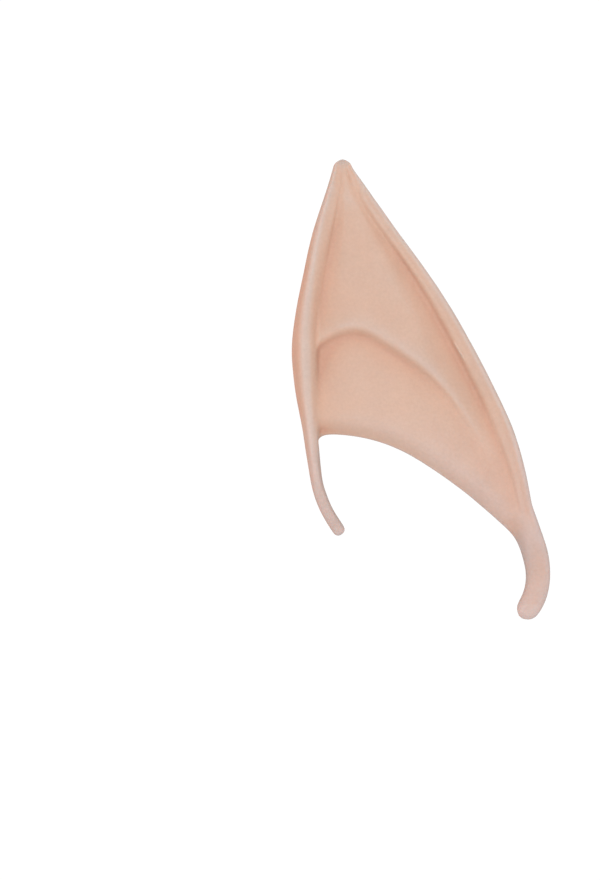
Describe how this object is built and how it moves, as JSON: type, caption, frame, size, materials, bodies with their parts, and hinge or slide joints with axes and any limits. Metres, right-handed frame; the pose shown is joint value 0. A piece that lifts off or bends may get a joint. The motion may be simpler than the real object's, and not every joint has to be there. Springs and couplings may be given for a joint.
{
  "type": "false elf ear tip",
  "caption": "Soft latex elf ear tip: a pointed hollow cover for the top of an ear, with a rolled rim, a curved fold, a thin front hook and a broad lobe hook.",
  "frame": {"origin": "middle of the whole ear tip's box in X and Y, on the surface that it lies on", "axes": "+Y towards the pointed tip, +X from the head-side rim to the outer rim, +Z out of the dished front"},
  "size_m": [0.0596, 0.1058, 0.016],
  "materials": {
    "latex": "matte skin-toned latex"
  },
  "bodies": {
    "root": {"ear_tip_shell": "latex"}
  },
  "joints": []
}
